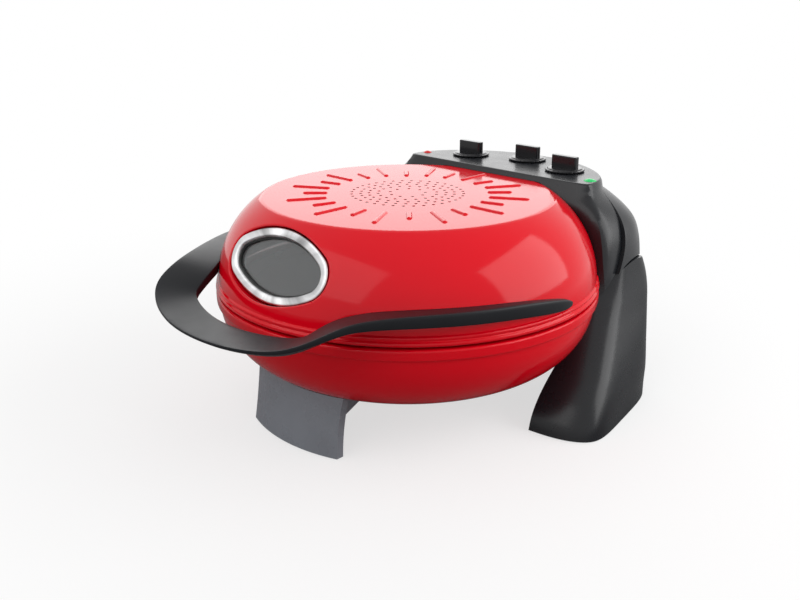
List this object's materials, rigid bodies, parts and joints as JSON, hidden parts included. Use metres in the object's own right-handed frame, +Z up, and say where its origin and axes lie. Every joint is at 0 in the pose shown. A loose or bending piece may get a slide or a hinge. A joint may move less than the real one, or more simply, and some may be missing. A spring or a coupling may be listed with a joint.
{
  "type": "electric pizza maker",
  "caption": "Round electric pizza oven with a hinged domed lid, front window, wrap-around handle, rear control housing and turning stone.",
  "frame": {"origin": "on the table under the axis of the stone, which is the centre of the whole part's plan", "axes": "+Z up along the stone's axis, -Y towards the handle and window, +Y towards the hinge and controls, +X to the right seen from the front"},
  "size_m": [0.4164, 0.508, 0.2328],
  "materials": {
    "red_enamel": "glossy enamel on pressed steel",
    "black_plastic": "satin, fine grain",
    "grey_plastic": "satin",
    "polished_aluminium": "bright rolled sheet",
    "steel": "zinc plated",
    "element_steel": "dull, heat-darkened",
    "chrome_trim": "bright",
    "window_glass": "clear tempered glass, slightly grey",
    "rubber": "matte",
    "red_lens": "clear red lens",
    "green_lens": "clear green lens",
    "cream_plastic": "moulded",
    "cordierite": "fired, slightly rough"
  },
  "bodies": {
    "base": {"bowl_shell": "red_enamel", "lower_reflector": "polished_aluminium", "lower_element": "element_steel", "lower_element_clips": "steel", "turntable_motor": "steel", "motor_bracket": "steel", "front_foot": "grey_plastic", "left_leg": "black_plastic", "right_leg": "black_plastic", "leg_covers": "black_plastic", "rear_bridge": "black_plastic", "support_rails": "steel", "rubber_pads": "rubber", "hinge_pins": "steel", "base_screws": "steel", "cord_gland": "black_plastic"},
    "lid": {"lid_shell": "red_enamel", "lid_reflector": "polished_aluminium", "upper_element": "element_steel", "upper_element_clips": "steel", "window_ring": "chrome_trim", "window_gasket": "rubber", "window_glass": "window_glass", "handle": "black_plastic", "handle_screws": "steel", "control_housing": "black_plastic", "rear_cover": "black_plastic", "left_hinge_arm": "steel", "right_hinge_arm": "steel", "arm_screws": "steel", "red_lamp": "red_lens", "green_lamp": "green_lens", "control_bracket": "steel", "upper_thermostat": "cream_plastic", "lower_thermostat": "cream_plastic", "timer": "cream_plastic"},
    "upper_dial": {"upper_knob": "black_plastic", "upper_spindle": "steel"},
    "lower_dial": {"lower_knob": "black_plastic", "lower_spindle": "steel"},
    "timer_dial": {"timer_knob": "black_plastic", "timer_spindle": "steel"},
    "turntable": {"drive_spindle": "steel", "stone_carrier": "steel", "baking_stone": "cordierite"}
  },
  "joints": [
    {"name": "lid_hinge", "type": "hinge", "parent": "base", "child": "lid", "pos_m": [0, 0.165, 0.074], "axis": [-1, 0, 0], "range_deg": [0, 70]},
    {"name": "upper_dial_turn", "type": "hinge", "parent": "lid", "child": "upper_dial", "pos_m": [-0.065, 0.172, 0.2165], "axis": [0, 0, -1], "range_deg": [0, 270]},
    {"name": "lower_dial_turn", "type": "hinge", "parent": "lid", "child": "lower_dial", "pos_m": [0.065, 0.172, 0.2165], "axis": [0, 0, -1], "range_deg": [0, 270]},
    {"name": "timer_turn", "type": "hinge", "parent": "lid", "child": "timer_dial", "pos_m": [0, 0.193, 0.2165], "axis": [0, 0, -1], "range_deg": [0, 300]},
    {"name": "stone_spin", "type": "hinge", "parent": "base", "child": "turntable", "pos_m": [0, 0, 0.1], "axis": [0, 0, 1], "continuous": true}
  ]
}
